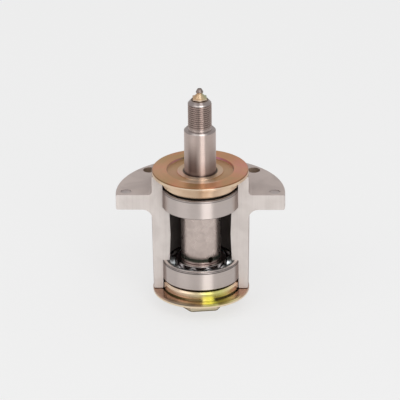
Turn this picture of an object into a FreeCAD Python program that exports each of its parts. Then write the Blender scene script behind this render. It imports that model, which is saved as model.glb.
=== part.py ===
import FreeCAD, Part
import os
import re

import Sketcher

# Mower deck spindle sawn open for display. Millimetres, +Z along the shaft towards the thread.
# The origin is on the shaft's axis, near the lower end of the land that carries the pulley.

SIZES = {
    # Shaft
    "shaft_dia": 25.4,
    "journal_undersize": 0.04,
    "origin_above_seat": 0.4,
    "land_below_origin": 0.1,
    "undercut_depth": 0.5,
    "undercut_below_seat": 0.5,
    "seat_to_shoulder": 36.7,
    "shoulder_chamfer": 1.4,
    "shaft_tail": 3.2,
    "tail_chamfer": 0.8,
    "stud_dia": 19.05,
    "stud_length": 25.1,
    "stud_chamfer_width": 2.8,
    "stud_chamfer_height": 3.1,
    "relief_depth": 0.725,
    "relief_width": 2.0,
    "grease_bore_dia": 5.0,
    "drill_point_slope": 0.6,
    # Grease way out of the shaft and the spacer
    "grease_hole_dia": 4.2,
    "grease_hole_height": 4.0,
    "grease_hole_turn": 30.0,
    # Fits
    "bore_gap": 0.03,
    "seat_gap": 0.02,
    # Spacer
    "spacer_wall": 3.145,
    "spacer_length": 46.3,
    "spacer_chamfer": 0.5,
    # Ball bearings
    "bearing_dia": 62.0,
    "bearing_width": 16.0,
    "ring_chamfer": 1.0,
    "inner_shoulder_step": 2.85,
    "outer_shoulder_step": 3.0,
    "shoulder_edge": 0.4,
    "ball_dia": 9.525,
    "pitch_shift": 2.3,
    "ball_count": 9,
    "ball_turn": 20.0,
    "race_ratio": 1.04,
    "race_gap": 0.1,
    # Bearing seals
    "seal_grip": 0.8,
    "seal_thickness": 1.2,
    "seal_inset": 0.4,
    "seal_lip_gap": 0.25,
    "seal_lip_width": 1.8,
    "seal_lip_thickness": 0.8,
    # Ball cages
    "cage_sheet": 0.7,
    "cage_inner_gap": 0.75,
    "cage_outer_gap": 0.9,
    "cage_pocket_gap": 0.12,
    "cage_trim": 1.5,
    "rivet_dia": 1.4,
    "rivet_head_dia": 2.4,
    "rivet_head_height": 0.5,
    "rivet_gap": 0.02,
    # Dust caps
    "cap_rim_inset": 0.7,
    "cap_rim_thickness": 3.4,
    "cap_rim_rise": 1.4,
    "cap_rim_edge": 0.6,
    "cap_recess_dia": 54.0,
    "cap_recess_depth": 1.8,
    "cap_recess_slope": 0.7,
    "cap_boss_dia": 37.0,
    "cap_hub_gap": 0.4,
    "cap_hub_chamfer": 1.5,
    "cap_root_width": 1.3,
    "cap_root_depth": 0.6,
    "cap_foot_inset": 1.35,
    "cap_foot_height": 1.9,
    "cap_bore_chamfer": 0.7,
    "upper_cap_height": 13.7,
    "lower_cap_height": 10.9,
    # Housing
    "upper_rim_gap": 0.8,
    "lower_rim_gap": 0.4,
    "housing_wall": 8.28,
    "flange_reach": 28.45,
    "flange_thickness": 12.8,
    "flange_above_shoulder": 11.1,
    "flange_edge_radius": 1.2,
    "flange_root_radius": 8.0,
    "boss_root_radius": 3.0,
    "tube_taper": 1.1,
    "wall_edge_radius": 0.8,
    "seat_chamfer": 0.8,
    "bore_end_dia": 51.8,
    "bore_middle_dia": 50.2,
    "section_offset": 7.0,
    # Flange holes and ejector marks
    "bolt_edge_distance": 8.25,
    "bolt_hole_dia": 10.3,
    "bolt_hole_count": 4,
    "bolt_hole_turn": 45.0,
    "ejector_mark_dia": 8.7,
    "ejector_mark_depth": 0.8,
    # Grease fitting
    "fitting_hex_width": 11.1,
    "fitting_hex_height": 1.6,
    "fitting_hex_turn": 4.0,
    "fitting_lift": 0.4,
    "fitting_shank_dia": 9.7,
    "fitting_shank_taper": 0.4,
    "fitting_shank_length": 6.4,
    "fitting_bore_gap": 0.05,
    "fitting_bore_depth": 8.0,
    "fitting_cone_inset": 0.35,
    "fitting_neck_dia": 4.7,
    "fitting_neck_start": 4.3,
    "fitting_neck_length": 0.6,
    "fitting_head_dia": 5.9,
    "fitting_head_start": 5.6,
    "fitting_head_length": 0.7,
    "fitting_tip_dia": 3.5,
    "fitting_length": 8.6,
    "orifice_dia": 1.8,
    "orifice_depth": 0.6,
    "chamber_dia": 3.2,
    "chamber_floor": 5.0,
    "check_seat_height": 0.8,
    "outlet_dia": 1.8,
    "check_ball_dia": 2.6,
    "check_ball_gap": 0.08,
    "spring_wire_dia": 0.4,
    "spring_mean_dia": 2.2,
    "spring_turns": 6.0,
    "spring_end_gap": 0.1,
    # Blade bolt
    "blade_bolt_dia": 15.875,
    "blade_bolt_length": 24.0,
    "blade_bolt_gap": 0.05,
    "blade_bolt_bore_spare": 2.5,
    "bolt_tip_chamfer": 1.2,
    "bolt_hex_width": 36.0,
    "bolt_hex_height": 8.2,
    "bolt_hex_turn": -22.0,
    "bolt_hex_bevel": 0.577,
    "bolt_bevel_start": 1.12,
    "bolt_bevel_end": 1.5,
    "bolt_face_inset": 6.7,
    "bolt_face_height": 0.6,
}

# Levels and radii that more than one piece shares
CAP_BORE = "(shaft_dia / 2 + bore_gap)"
JOURNAL = "(shaft_dia / 2 - journal_undersize / 2)"
SEAT_LEVEL = "(-origin_above_seat)"
UPPER_TOP = f"({SEAT_LEVEL} - upper_cap_height)"
UPPER_FOOT = f"({UPPER_TOP} - bearing_width)"
LOWER_TOP = f"({UPPER_FOOT} - spacer_length)"
LOWER_FOOT = f"({LOWER_TOP} - bearing_width)"
BLADE_SEAT = f"({LOWER_FOOT} - lower_cap_height)"
SHAFT_END = f"({BLADE_SEAT} - cap_rim_rise - shaft_tail)"
GREASE_LEVEL = f"({LOWER_TOP} + grease_hole_height)"
SHOULDER = f"({SEAT_LEVEL} + seat_to_shoulder)"
STUD_TOP = f"({SHOULDER} + stud_length)"
FITTING_BASE = f"({STUD_TOP} + fitting_lift)"
FITTING_TIP = f"({FITTING_BASE} + fitting_length)"
FLANGE_TOP = f"({UPPER_FOOT} + flange_above_shoulder)"
FLANGE_FOOT = f"({FLANGE_TOP} - flange_thickness)"
BOSS_TOP = f"({SEAT_LEVEL} + cap_rim_rise - cap_rim_thickness - upper_rim_gap)"
HOUSING_FOOT = f"({BLADE_SEAT} - cap_rim_rise + cap_rim_thickness + lower_rim_gap)"
SEAT = "(bearing_dia / 2 + seat_gap)"
HUB = f"({SEAT} - cap_hub_gap)"
BOSS = f"({SEAT} + housing_wall)"
FLANGE = f"({BOSS} + flange_reach)"
BOLT_CIRCLE = f"({FLANGE} - bolt_edge_distance)"
PITCH = "((bearing_dia + shaft_dia) / 4 + pitch_shift / 2)"
INNER_SHOULDER = f"({PITCH} - inner_shoulder_step)"
OUTER_SHOULDER = f"({PITCH} + outer_shoulder_step)"
RACE = "(ball_dia / 2 * race_ratio)"
SEAL = f"({OUTER_SHOULDER} + seal_grip)"
CAP_RIM = f"({BOSS} - cap_rim_inset)"
CAP_FOOT = f"({INNER_SHOULDER} - cap_foot_inset)"
SPACER = f"({CAP_BORE} + spacer_wall)"
CAGE_INSIDE = f"({INNER_SHOULDER} + cage_inner_gap)"
CAGE_OUTSIDE = f"({OUTER_SHOULDER} - cage_outer_gap)"
POCKET = "(ball_dia / 2 + cage_pocket_gap)"
ARCH_START = f"({CAGE_INSIDE} - cage_trim)"
ARCH_LENGTH = f"({CAGE_OUTSIDE} - {CAGE_INSIDE} + 2 * cage_trim)"
BALL_ANGLE = "(ball_turn - 90)"
RIVET_ANGLE = "(ball_turn - 90 + 180 / ball_count)"
CHAMBER_FLOOR = f"({FITTING_BASE} - chamber_floor)"
SEAT_WIDTH = "(chamber_dia / 2 - orifice_dia / 2)"
SEAT_SLANT = f"sqrt({SEAT_WIDTH} ^ 2 + check_seat_height ^ 2)"
BALL_DROP = (
    f"(((check_ball_dia / 2 + check_ball_gap) * {SEAT_SLANT}"
    f" - check_seat_height * orifice_dia / 2) / {SEAT_WIDTH})"
)
CHECK_BALL_LEVEL = f"({FITTING_TIP} - orifice_depth - {BALL_DROP})"
BALL_TO_COIL = "(check_ball_dia / 2 + spring_wire_dia / 2 + spring_end_gap)"

doc = FreeCAD.newDocument("mower_deck_spindle")
sheet = doc.addObject("Spreadsheet::Sheet", "Dims")
for row, (name, size) in enumerate(SIZES.items(), start=1):
    sheet.set(f"A{row}", name)
    sheet.set(f"B{row}", str(size))
    sheet.setAlias(f"B{row}", name)
doc.recompute()

sub_parts = []


def cells(text):
    """Write a formula of size names as one of sheet cells."""
    return re.sub(r"[a-z_]{3,}", lambda word: f"Dims.{word[0]}" if word[0] in SIZES else word[0], text)


def value(text):
    """The present value of a formula of size names."""
    return float(sheet.evalExpression(cells(text)))


def new_body(label):
    body = doc.addObject("PartDesign::Body", label)
    body.Label = label
    sub_parts.append(body)
    return body


def origin_item(body, role):
    return next(item for item in body.Origin.OriginFeatures if item.Role == role)


def new_sketch(body, name, role, level="0", turn="0"):
    """A sketch on one of the body's own planes: lifted by level, or swung about Z by turn."""
    sketch = body.newObject("Sketcher::SketchObject", name)
    sketch.AttachmentSupport = (origin_item(body, role), [""])
    sketch.MapMode = "FlatFace"
    if level != "0":
        sketch.setExpression("AttachmentOffset.Base.z", cells(level))
    if turn != "0":
        sketch.AttachmentOffset = FreeCAD.Placement(
            FreeCAD.Vector(), FreeCAD.Rotation(FreeCAD.Vector(0, 1, 0), value(turn))
        )
        sketch.setExpression("AttachmentOffset.Rotation.Angle", cells(turn))
    return sketch


def facing_sketch(body, name, turn, reach):
    """A sketch that faces away from the shaft's axis: turn is its angle from +X, reach its distance."""
    sketch = new_sketch(body, name, "YZ_Plane", turn=turn)
    sketch.setExpression("AttachmentOffset.Base.x", cells(f"{reach} * sin{turn}"))
    sketch.setExpression("AttachmentOffset.Base.z", cells(f"{reach} * cos{turn}"))
    return sketch


def bind(sketch, kind, *where, to):
    """One dimension of a sketch, driven by a formula of sheet cells."""
    index = sketch.addConstraint(Sketcher.Constraint(kind, *where, value(to)))
    sketch.setExpression(f"Constraints[{index}]", cells(to))


def draw_corners(sketch, corners):
    """A closed outline of straight lines through corners, each given as two formulas."""
    points = [FreeCAD.Vector(value(across), value(up), 0) for across, up in corners]
    count = len(points)
    for index in range(count):
        sketch.addGeometry(Part.LineSegment(points[index], points[(index + 1) % count]), False)
    for index in range(count):
        sketch.addConstraint(Sketcher.Constraint("Coincident", index, 2, (index + 1) % count, 1))
    for index, (across, up) in enumerate(corners):
        bind(sketch, "DistanceX", -1, 1, index, 1, to=across)
        bind(sketch, "DistanceY", -1, 1, index, 1, to=up)


def draw_circle(sketch, across, up, radius):
    centre = FreeCAD.Vector(value(across), value(up), 0)
    normal = FreeCAD.Vector(0, 0, 1)
    circle = sketch.addGeometry(Part.Circle(centre, normal, value(radius)), False)
    bind(sketch, "DistanceX", -1, 1, circle, 3, to=across)
    bind(sketch, "DistanceY", -1, 1, circle, 3, to=up)
    bind(sketch, "Radius", circle, to=radius)


def draw_half_disc(sketch, across, up, radius):
    """A half disc to the right of an upright line, to be turned into a ball."""
    centre = FreeCAD.Vector(value(across), value(up), 0)
    right = FreeCAD.Vector(value(radius), 0, 0)
    above = FreeCAD.Vector(0, value(radius), 0)
    arc = sketch.addGeometry(Part.Arc(centre - above, centre + right, centre + above), False)
    upright = sketch.addGeometry(Part.LineSegment(centre + above, centre - above), False)
    sketch.addConstraint(Sketcher.Constraint("Coincident", arc, 2, upright, 1))
    sketch.addConstraint(Sketcher.Constraint("Coincident", upright, 2, arc, 1))
    sketch.addConstraint(Sketcher.Constraint("PointOnObject", arc, 3, upright))
    sketch.addConstraint(Sketcher.Constraint("Vertical", upright))
    bind(sketch, "DistanceX", -1, 1, arc, 3, to=across)
    bind(sketch, "DistanceY", -1, 1, arc, 3, to=up)
    bind(sketch, "Radius", arc, to=radius)


def draw_arch(sketch, foot, radius, upward):
    """A half disc that stands on the level foot, or hangs from it where upward is false."""
    centre = FreeCAD.Vector(0, value(foot), 0)
    right = FreeCAD.Vector(value(radius), 0, 0)
    crown = FreeCAD.Vector(0, value(radius) if upward else -value(radius), 0)
    arc = sketch.addGeometry(Part.Arc(centre + right, centre + crown, centre - right), False)
    base = sketch.addGeometry(Part.LineSegment(centre - right, centre + right), False)
    left_end, right_end = (2, 1) if upward else (1, 2)
    sketch.addConstraint(Sketcher.Constraint("Coincident", arc, left_end, base, 1))
    sketch.addConstraint(Sketcher.Constraint("Coincident", base, 2, arc, right_end))
    sketch.addConstraint(Sketcher.Constraint("PointOnObject", arc, 3, base))
    sketch.addConstraint(Sketcher.Constraint("Horizontal", base))
    bind(sketch, "DistanceX", -1, 1, arc, 3, to="0")
    bind(sketch, "DistanceY", -1, 1, arc, 3, to=foot)
    bind(sketch, "Radius", arc, to=radius)


def turn_round(body, kind, name, sketch, axis="V_Axis"):
    """A Revolution or a Groove of a sketch, all the way round."""
    feature = body.newObject(f"PartDesign::{kind}", name)
    feature.Profile = sketch
    feature.ReferenceAxis = (sketch, [axis])
    feature.Angle = 360
    doc.recompute()
    return feature


def turned(label, corners):
    """A piece turned about the shaft's axis, from the corners of its half section."""
    body = new_body(label)
    sketch = new_sketch(body, f"{label}_section", "XZ_Plane")
    draw_corners(sketch, corners)
    turn_round(body, "Revolution", f"{label}_turned", sketch)
    return body


def ring_cut(body, name, across, up, radius):
    """A round groove, such as a ball race."""
    sketch = new_sketch(body, f"{name}_section", "XZ_Plane")
    draw_circle(sketch, across, up, radius)
    turn_round(body, "Groove", name, sketch)


def pad(body, name, sketch, height, reverse=False):
    feature = body.newObject("PartDesign::Pad", name)
    feature.Profile = sketch
    feature.Reversed = reverse
    feature.setExpression("Length", cells(height))
    doc.recompute()
    return feature


def pocket(body, name, sketch, depth=None, reverse=False):
    """A cut of the given depth, or right through where no depth is given."""
    before = body.Shape.Volume
    feature = body.newObject("PartDesign::Pocket", name)
    feature.Profile = sketch
    feature.Reversed = reverse
    if depth is None:
        feature.Type = "ThroughAll"
    else:
        feature.setExpression("Length", cells(depth))
    doc.recompute()
    if not body.Shape.Volume < before:
        raise RuntimeError(f"{name} cuts nothing")
    return feature


def repeat_round(body, name, feature, count):
    """Copies of a feature, evenly spaced round the shaft's axis."""
    pattern = body.newObject("PartDesign::PolarPattern", name)
    pattern.Originals = [feature]
    pattern.Axis = (origin_item(body, "Z_Axis"), [""])
    pattern.Angle = 360
    pattern.setExpression("Occurrences", cells(count))
    body.Tip = pattern
    doc.recompute()


def round_edges(body, name, places, radius):
    """Fillet the full circles of the given radius and level, each given as two formulas."""
    names = []
    for across, up in places:
        for index, edge in enumerate(body.Shape.Edges, start=1):
            if not isinstance(edge.Curve, Part.Circle):
                continue
            same_radius = abs(edge.Curve.Radius - value(across)) < 1e-4
            same_level = abs(edge.Curve.Center.z - value(up)) < 1e-4
            if same_radius and same_level:
                names.append(f"Edge{index}")
    base = body.Tip
    fillet = body.newObject("PartDesign::Fillet", name)
    fillet.Base = (base, names)
    fillet.setExpression("Radius", cells(radius))
    doc.recompute()


def hexagon(sketch, width, turn):
    """Six corners about the origin; turn swings one corner from the front towards +X."""
    corners = []
    for step in range(6):
        angle = f"({turn} - 90 + 60 * {step})"
        corners.append((f"{width} / sqrt(3) * cos{angle}", f"{width} / sqrt(3) * sin{angle}"))
    draw_corners(sketch, corners)


def build_housing():
    """Cast flange, boss and tube in one piece, sawn off in front of the shaft."""
    middle = f"({UPPER_FOOT} - spacer_length / 2)"
    tube_end = f"({BOSS} - tube_taper)"
    body = turned("housing", [
        (f"{SEAT} + seat_chamfer", BOSS_TOP),
        (BOSS, BOSS_TOP),
        (BOSS, FLANGE_TOP),
        (FLANGE, FLANGE_TOP),
        (FLANGE, FLANGE_FOOT),
        (BOSS, FLANGE_FOOT),
        (tube_end, HOUSING_FOOT),
        (f"{SEAT} + seat_chamfer", HOUSING_FOOT),
        (SEAT, f"{HOUSING_FOOT} + seat_chamfer"),
        (SEAT, LOWER_TOP),
        ("bore_end_dia / 2", LOWER_TOP),
        ("bore_middle_dia / 2", middle),
        ("bore_end_dia / 2", UPPER_FOOT),
        (SEAT, UPPER_FOOT),
        (SEAT, f"{BOSS_TOP} - seat_chamfer"),
    ])
    round_edges(body, "boss_root", [(BOSS, FLANGE_TOP)], "boss_root_radius")
    round_edges(body, "flange_root", [(BOSS, FLANGE_FOOT)], "flange_root_radius")
    rims = [(FLANGE, FLANGE_TOP), (FLANGE, FLANGE_FOOT)]
    round_edges(body, "flange_rims", rims, "flange_edge_radius")
    ends = [(BOSS, BOSS_TOP), (tube_end, HOUSING_FOOT)]
    round_edges(body, "wall_ends", ends, "wall_edge_radius")

    bolt_sketch = new_sketch(body, "bolt_hole_circle", "XY_Plane")
    bolt_across = f"{BOLT_CIRCLE} * cos(bolt_hole_turn)"
    bolt_along = f"{BOLT_CIRCLE} * sin(bolt_hole_turn)"
    draw_circle(bolt_sketch, bolt_across, bolt_along, "bolt_hole_dia / 2")
    bolt_hole = pocket(body, "bolt_hole", bolt_sketch)
    repeat_round(body, "bolt_holes", bolt_hole, "bolt_hole_count")

    mark_sketch = new_sketch(body, "ejector_mark_circle", "XY_Plane", FLANGE_TOP)
    draw_circle(mark_sketch, BOLT_CIRCLE, "0", "ejector_mark_dia / 2")
    mark = pocket(body, "ejector_mark", mark_sketch, "ejector_mark_depth")
    repeat_round(body, "ejector_marks", mark, "bolt_hole_count")

    saw_sketch = new_sketch(body, "saw_outline", "XY_Plane")
    draw_corners(saw_sketch, [
        (f"-2 * {FLANGE}", "-section_offset"),
        (f"-2 * {FLANGE}", f"-2 * {FLANGE}"),
        (f"2 * {FLANGE}", f"-2 * {FLANGE}"),
        (f"2 * {FLANGE}", "-section_offset"),
    ])
    pocket(body, "saw_cut", saw_sketch)


def build_outer_ring(label, top):
    """Outer ring with its ball race and a step for a seal at each side."""
    foot = f"({top} - bearing_width)"
    step = "(seal_inset + seal_thickness)"
    seal = f"({SEAL} + seat_gap)"
    body = turned(label, [
        (seal, top),
        ("bearing_dia / 2 - ring_chamfer", top),
        ("bearing_dia / 2", f"{top} - ring_chamfer"),
        ("bearing_dia / 2", f"{foot} + ring_chamfer"),
        ("bearing_dia / 2 - ring_chamfer", foot),
        (seal, foot),
        (seal, f"{foot} + {step}"),
        (OUTER_SHOULDER, f"{foot} + {step}"),
        (OUTER_SHOULDER, f"{top} - {step}"),
        (seal, f"{top} - {step}"),
    ])
    race = f"{PITCH} + ball_dia / 2 + race_gap - {RACE}"
    ring_cut(body, f"{label}_race", race, f"{top} - bearing_width / 2", RACE)


def build_inner_ring(label, top):
    foot = f"({top} - bearing_width)"
    body = turned(label, [
        (f"{CAP_BORE} + ring_chamfer", top),
        (f"{INNER_SHOULDER} - shoulder_edge", top),
        (INNER_SHOULDER, f"{top} - shoulder_edge"),
        (INNER_SHOULDER, f"{foot} + shoulder_edge"),
        (f"{INNER_SHOULDER} - shoulder_edge", foot),
        (f"{CAP_BORE} + ring_chamfer", foot),
        (CAP_BORE, f"{foot} + ring_chamfer"),
        (CAP_BORE, f"{top} - ring_chamfer"),
    ])
    race = f"{PITCH} - ball_dia / 2 - race_gap + {RACE}"
    ring_cut(body, f"{label}_race", race, f"{top} - bearing_width / 2", RACE)


def build_seal(label, face, inward):
    """Moulded seal; face is the ring's side face, inward is 1 or -1 along Z into the bearing."""
    outside = f"({face} + {inward} * seal_inset)"
    lip = f"({INNER_SHOULDER} + seal_lip_gap)"
    turned(label, [
        (lip, f"{outside} + {inward} * seal_thickness"),
        (lip, f"{outside} + {inward} * (seal_thickness - seal_lip_thickness)"),
        (f"{lip} + seal_lip_width", f"{outside} + {inward} * (seal_thickness - seal_lip_thickness)"),
        (f"{lip} + seal_lip_width", outside),
        (SEAL, outside),
        (SEAL, f"{outside} + {inward} * seal_thickness"),
    ])


def build_balls(label, middle):
    body = new_body(label)
    sketch = new_sketch(body, f"{label}_section", "XZ_Plane", turn=BALL_ANGLE)
    draw_half_disc(sketch, PITCH, middle, "ball_dia / 2")
    ball = turn_round(body, "Revolution", f"{label}_one", sketch, "Edge2")
    repeat_round(body, f"{label}_all", ball, "ball_count")


def build_cage_half(label, middle, upper):
    """Pressed half cage: a flat band at the middle plane with an arch over every ball."""
    body = new_body(label)
    band_sketch = new_sketch(body, f"{label}_band", "XY_Plane", middle)
    draw_circle(band_sketch, "0", "0", CAGE_OUTSIDE)
    draw_circle(band_sketch, "0", "0", CAGE_INSIDE)
    pad(body, f"{label}_flat", band_sketch, "cage_sheet", reverse=not upper)

    arch_sketch = facing_sketch(body, f"{label}_arch_outline", BALL_ANGLE, ARCH_START)
    draw_arch(arch_sketch, middle, f"{POCKET} + cage_sheet", upper)
    arch = pad(body, f"{label}_arch", arch_sketch, ARCH_LENGTH)
    repeat_round(body, f"{label}_arches", arch, "ball_count")

    trim_sketch = new_sketch(body, f"{label}_trim_outline", "XY_Plane", middle)
    draw_circle(trim_sketch, "0", "0", "bearing_dia / 2")
    draw_circle(trim_sketch, "0", "0", CAGE_OUTSIDE)
    pocket(body, f"{label}_outer_trim", trim_sketch, reverse=upper)
    core_sketch = new_sketch(body, f"{label}_core_outline", "XY_Plane", middle)
    draw_circle(core_sketch, "0", "0", CAGE_INSIDE)
    pocket(body, f"{label}_inner_trim", core_sketch, reverse=upper)

    pocket_sketch = facing_sketch(body, f"{label}_pocket_circle", BALL_ANGLE, ARCH_START)
    draw_circle(pocket_sketch, "0", middle, POCKET)
    ball_pocket = pocket(body, f"{label}_pocket", pocket_sketch, ARCH_LENGTH, reverse=True)
    repeat_round(body, f"{label}_pockets", ball_pocket, "ball_count")

    hole_sketch = new_sketch(body, f"{label}_rivet_circle", "XY_Plane", middle)
    draw_circle(
        hole_sketch,
        f"{PITCH} * cos{RIVET_ANGLE}",
        f"{PITCH} * sin{RIVET_ANGLE}",
        "rivet_dia / 2 + rivet_gap",
    )
    hole = pocket(body, f"{label}_rivet_hole", hole_sketch, reverse=upper)
    repeat_round(body, f"{label}_rivet_holes", hole, "ball_count")


def build_rivets(label, middle):
    """Rivets between the balls, headed on both halves of the cage."""
    body = new_body(label)
    sketch = new_sketch(body, f"{label}_section", "XZ_Plane", turn=RIVET_ANGLE)
    head = "(cage_sheet + rivet_head_height)"
    draw_corners(sketch, [
        (PITCH, f"{middle} - {head}"),
        (f"{PITCH} + rivet_head_dia / 2", f"{middle} - {head}"),
        (f"{PITCH} + rivet_head_dia / 2", f"{middle} - cage_sheet"),
        (f"{PITCH} + rivet_dia / 2", f"{middle} - cage_sheet"),
        (f"{PITCH} + rivet_dia / 2", f"{middle} + cage_sheet"),
        (f"{PITCH} + rivet_head_dia / 2", f"{middle} + cage_sheet"),
        (f"{PITCH} + rivet_head_dia / 2", f"{middle} + {head}"),
        (PITCH, f"{middle} + {head}"),
    ])
    rivet = turn_round(body, "Revolution", f"{label}_one", sketch, "Edge8")
    repeat_round(body, f"{label}_all", rivet, "ball_count")


def build_bearing(side, top, sealed_above):
    """One ball bearing: rings, seal on the cap side, balls, riveted ribbon cage."""
    middle = f"({top} - bearing_width / 2)"
    build_outer_ring(f"{side}_bearing_outer_ring", top)
    build_inner_ring(f"{side}_bearing_inner_ring", top)
    if sealed_above:
        build_seal(f"{side}_bearing_seal", top, "(-1)")
    else:
        build_seal(f"{side}_bearing_seal", f"({top} - bearing_width)", "1")
    build_balls(f"{side}_bearing_balls", middle)
    build_cage_half(f"{side}_cage_top_half", middle, True)
    build_cage_half(f"{side}_cage_bottom_half", middle, False)
    build_rivets(f"{side}_cage_rivets", middle)


def build_cap(label, seat, height, outward):
    """Turned dust cap; seat is the face that carries the pulley or blade, outward is 1 or -1."""
    def at(rise):
        return f"{seat} + {outward} * ({rise})"

    foot = f"(-{height})"
    rim = "cap_rim_rise"
    floor = "cap_rim_rise - cap_recess_depth"
    under = "cap_rim_rise - cap_rim_thickness"
    root = f"({HUB} - cap_root_depth)"
    turned(label, [
        (f"{CAP_BORE} + cap_bore_chamfer", at("0")),
        ("cap_boss_dia / 2", at("0")),
        ("cap_boss_dia / 2", at(floor)),
        ("cap_recess_dia / 2 - cap_recess_slope", at(floor)),
        ("cap_recess_dia / 2", at(rim)),
        (f"{CAP_RIM} - cap_rim_edge", at(rim)),
        (CAP_RIM, at(f"{rim} - cap_rim_edge")),
        (CAP_RIM, at(under)),
        (root, at(under)),
        (root, at(f"{under} - cap_root_width")),
        (HUB, at(f"{under} - cap_root_width")),
        (HUB, at(f"{foot} + cap_foot_height + cap_hub_chamfer")),
        (f"{HUB} - cap_hub_chamfer", at(f"{foot} + cap_foot_height")),
        (CAP_FOOT, at(f"{foot} + cap_foot_height")),
        (CAP_FOOT, at(foot)),
        (CAP_BORE, at(foot)),
        (CAP_BORE, at("-cap_bore_chamfer")),
    ])


def build_shaft():
    """Ground shaft: threaded stud, shoulder, journal, grease drilling and tapped lower end."""
    undercut = f"({JOURNAL} - undercut_depth)"
    undercut_foot = f"({SEAT_LEVEL} - undercut_below_seat)"
    relief = "(stud_dia / 2 - relief_depth)"
    relief_top = f"({SHOULDER} + relief_width)"
    thread_start = f"({relief_top} + relief_depth)"
    fitting_bore = "(fitting_shank_dia / 2 + fitting_bore_gap)"
    fitting_floor = f"({STUD_TOP} - fitting_bore_depth)"
    bolt_bore = "(blade_bolt_dia / 2 + blade_bolt_gap)"
    bolt_floor = f"({SHAFT_END} + blade_bolt_length + blade_bolt_bore_spare)"
    body = turned("spindle_shaft", [
        (bolt_bore, SHAFT_END),
        (f"{JOURNAL} - tail_chamfer", SHAFT_END),
        (JOURNAL, f"{SHAFT_END} + tail_chamfer"),
        (JOURNAL, undercut_foot),
        (undercut, undercut_foot),
        (undercut, "-land_below_origin"),
        ("shaft_dia / 2", "-land_below_origin"),
        ("shaft_dia / 2", f"{SHOULDER} - shoulder_chamfer"),
        ("shaft_dia / 2 - shoulder_chamfer", SHOULDER),
        (relief, SHOULDER),
        (relief, relief_top),
        ("stud_dia / 2", thread_start),
        ("stud_dia / 2", f"{STUD_TOP} - stud_chamfer_height"),
        ("stud_dia / 2 - stud_chamfer_width", STUD_TOP),
        (fitting_bore, STUD_TOP),
        (fitting_bore, fitting_floor),
        ("grease_bore_dia / 2", fitting_floor),
        ("grease_bore_dia / 2", GREASE_LEVEL),
        ("0", f"{GREASE_LEVEL} - grease_bore_dia / 2 * drill_point_slope"),
        ("0", f"{bolt_floor} + {bolt_bore} * drill_point_slope"),
        (bolt_bore, bolt_floor),
    ])
    cross_drill(body, "grease_outlet")


def cross_drill(body, name):
    """The grease hole out through one side wall."""
    sketch = new_sketch(body, f"{name}_circle", "XZ_Plane", turn="grease_hole_turn")
    draw_circle(sketch, "0", GREASE_LEVEL, "grease_hole_dia / 2")
    pocket(body, name, sketch, reverse=True)


def build_spacer():
    body = turned("bearing_spacer", [
        (CAP_BORE, LOWER_TOP),
        (f"{SPACER} - spacer_chamfer", LOWER_TOP),
        (SPACER, f"{LOWER_TOP} + spacer_chamfer"),
        (SPACER, f"{UPPER_FOOT} - spacer_chamfer"),
        (f"{SPACER} - spacer_chamfer", UPPER_FOOT),
        (CAP_BORE, UPPER_FOOT),
    ])
    cross_drill(body, "spacer_grease_hole")


def build_grease_fitting():
    """Hollow fitting with a hexagon, a grease head, a check ball and its spring."""
    shank_foot = f"({FITTING_BASE} - fitting_shank_length)"
    tip_seat = f"({FITTING_TIP} - orifice_depth)"
    cone = "(fitting_hex_width / 2 - fitting_cone_inset)"
    body = turned("grease_fitting_body", [
        ("outlet_dia / 2", shank_foot),
        ("fitting_shank_dia / 2 - fitting_shank_taper", shank_foot),
        ("fitting_shank_dia / 2", FITTING_BASE),
        (cone, FITTING_BASE),
        (cone, f"{FITTING_BASE} + fitting_hex_height"),
        ("fitting_neck_dia / 2", f"{FITTING_BASE} + fitting_neck_start"),
        ("fitting_neck_dia / 2", f"{FITTING_BASE} + fitting_neck_start + fitting_neck_length"),
        ("fitting_head_dia / 2", f"{FITTING_BASE} + fitting_head_start"),
        ("fitting_head_dia / 2", f"{FITTING_BASE} + fitting_head_start + fitting_head_length"),
        ("fitting_tip_dia / 2", FITTING_TIP),
        ("orifice_dia / 2", FITTING_TIP),
        ("orifice_dia / 2", tip_seat),
        ("chamber_dia / 2", f"{tip_seat} - check_seat_height"),
        ("chamber_dia / 2", CHAMBER_FLOOR),
        ("outlet_dia / 2", CHAMBER_FLOOR),
    ])
    hex_sketch = new_sketch(body, "fitting_hexagon", "XY_Plane", FITTING_BASE)
    hexagon(hex_sketch, "fitting_hex_width", "fitting_hex_turn")
    draw_circle(hex_sketch, "0", "0", "fitting_neck_dia / 2")
    pad(body, "fitting_hex", hex_sketch, "fitting_hex_height")

    ball = new_body("grease_fitting_ball")
    ball_sketch = new_sketch(ball, "check_ball_section", "XZ_Plane")
    draw_half_disc(ball_sketch, "0", CHECK_BALL_LEVEL, "check_ball_dia / 2")
    turn_round(ball, "Revolution", "check_ball_turned", ball_sketch)

    coil_top = f"({CHECK_BALL_LEVEL} - sqrt({BALL_TO_COIL} ^ 2 - (spring_mean_dia / 2) ^ 2))"
    coil_foot = f"({CHAMBER_FLOOR} + spring_wire_dia / 2)"
    height = value(f"{coil_top} - {coil_foot}")
    radius = value("spring_mean_dia / 2")
    helix = Part.makeHelix(height / value("spring_turns"), height, radius)
    wire_circle = Part.Circle(
        FreeCAD.Vector(radius, 0, 0), FreeCAD.Vector(0, 1, 0), value("spring_wire_dia / 2")
    )
    spring = doc.addObject("Part::Feature", "grease_fitting_spring")
    spring.Label = "grease_fitting_spring"
    spring.Shape = Part.Wire(helix.Edges).makePipeShell([Part.Wire(wire_circle.toShape())], True, True)
    spring.Placement = FreeCAD.Placement(FreeCAD.Vector(0, 0, value(coil_foot)), FreeCAD.Rotation())
    sub_parts.append(spring)


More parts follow.
